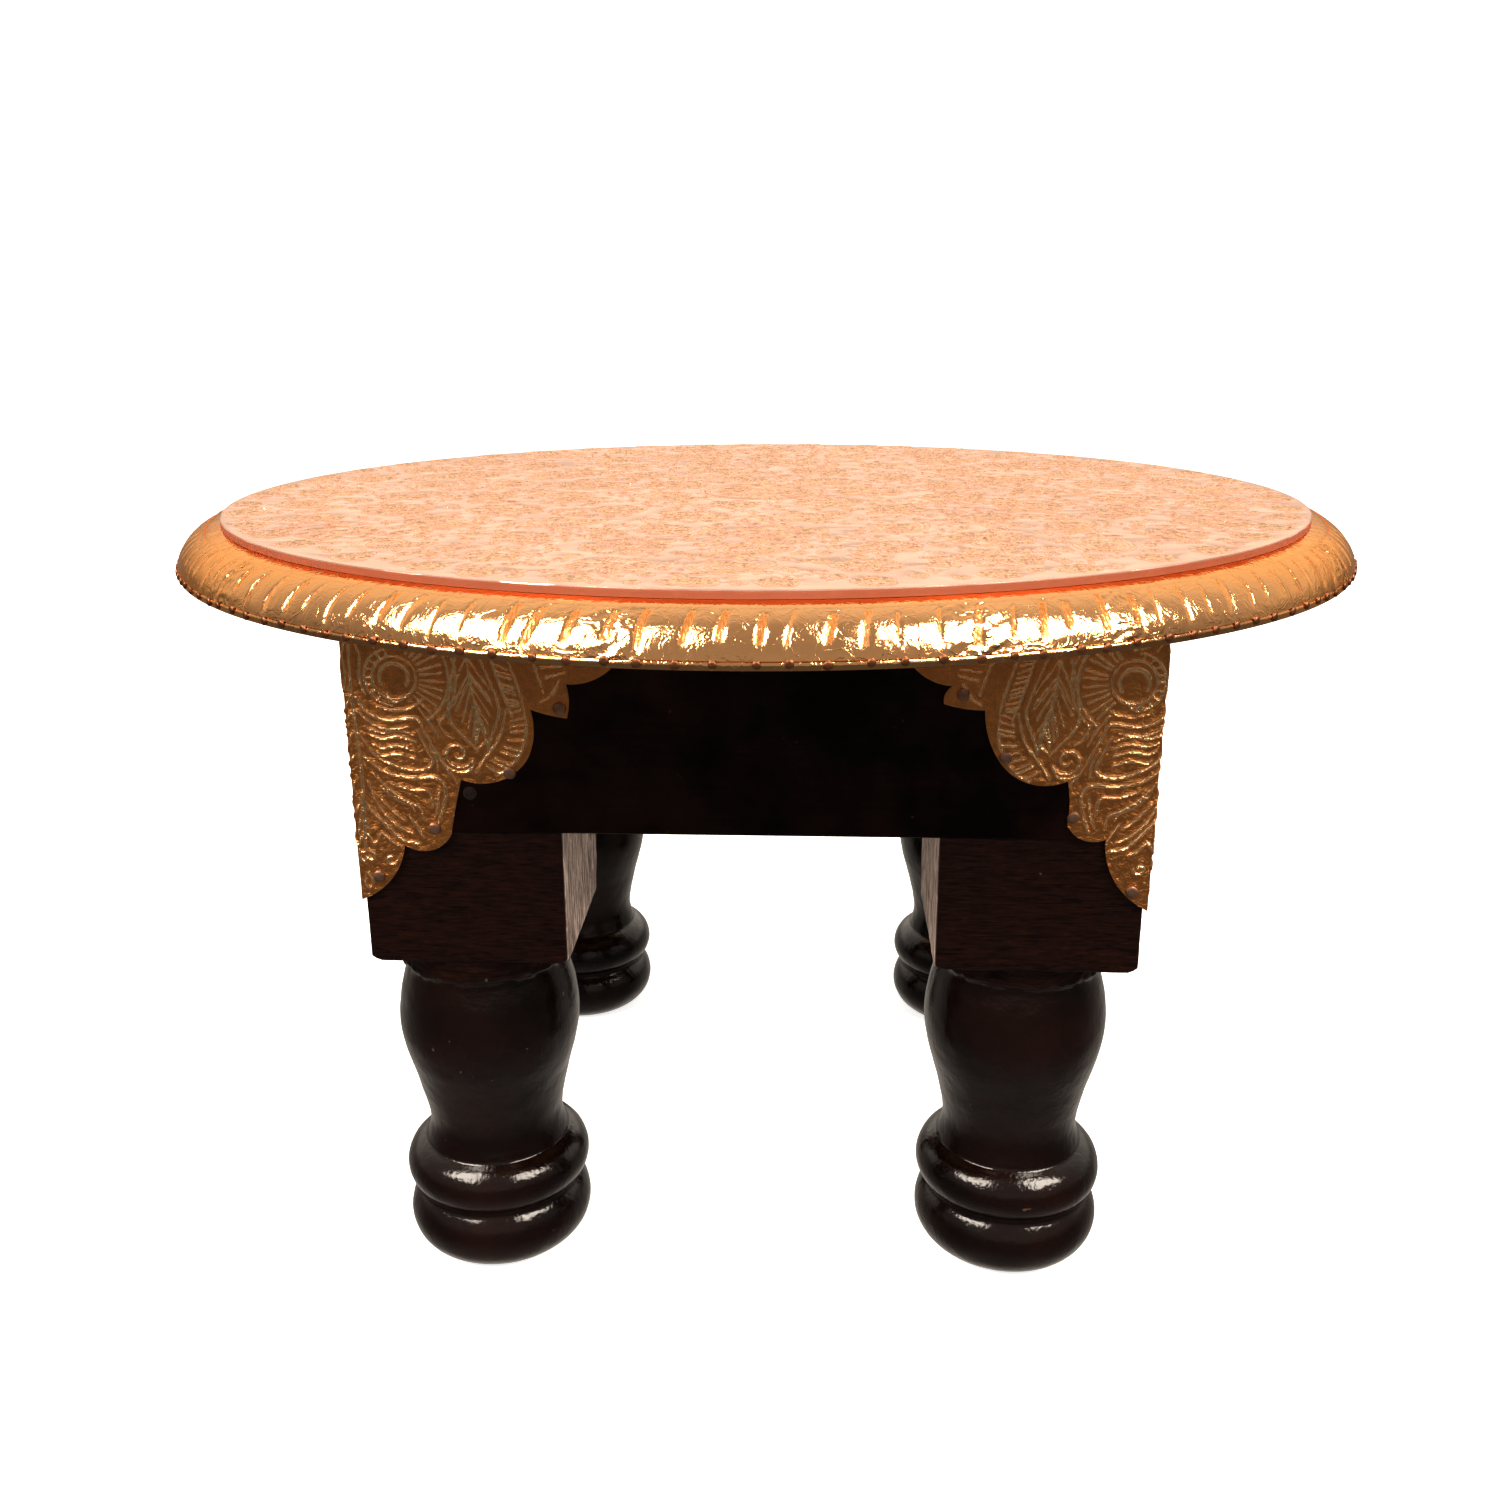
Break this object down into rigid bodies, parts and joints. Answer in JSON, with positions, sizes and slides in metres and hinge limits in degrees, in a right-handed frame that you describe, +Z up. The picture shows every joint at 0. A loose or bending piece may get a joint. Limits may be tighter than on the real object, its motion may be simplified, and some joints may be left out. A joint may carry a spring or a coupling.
{
  "type": "brass tray table",
  "caption": "Low round table: a wooden disc clad in embossed sheet brass, on a square box of dark rails with turned legs and scalloped brass corner plates.",
  "frame": {"origin": "on the ground, under the centre of the round top", "axes": "+Z up, -Y out of the front rail (the one with the bare nail), +X to the right seen from the front"},
  "size_m": [0.3062, 0.3062, 0.1886],
  "materials": {
    "embossed_brass": "embossed, polished, pinkish",
    "rim_brass": "polished thin sheet, crimped and wrinkled",
    "corner_brass": "embossed, antiqued dark, bright on the raised lines",
    "nail_brass": "small domed heads, dulled",
    "lacquered_wood": "near-black brown glossy lacquer",
    "hidden_wood": "bare, seen only from below",
    "steel": "plain, darkened"
  },
  "bodies": {
    "root": {"tray_core": "hidden_wood", "top_sheet": "embossed_brass", "rim_sheet": "rim_brass", "rim_nails": "nail_brass", "rail_nails": "steel", "top_screws": "steel", "front_rail": "lacquered_wood", "right_rail": "lacquered_wood", "back_rail": "lacquered_wood", "left_rail": "lacquered_wood", "front_left_leg": "lacquered_wood", "front_right_leg": "lacquered_wood", "back_right_leg": "lacquered_wood", "back_left_leg": "lacquered_wood", "front_left_plate": "corner_brass", "front_right_plate": "corner_brass", "back_right_plate": "corner_brass", "back_left_plate": "corner_brass", "front_left_plate_nails": "nail_brass", "front_right_plate_nails": "nail_brass", "back_right_plate_nails": "nail_brass", "back_left_plate_nails": "nail_brass"}
  },
  "joints": []
}
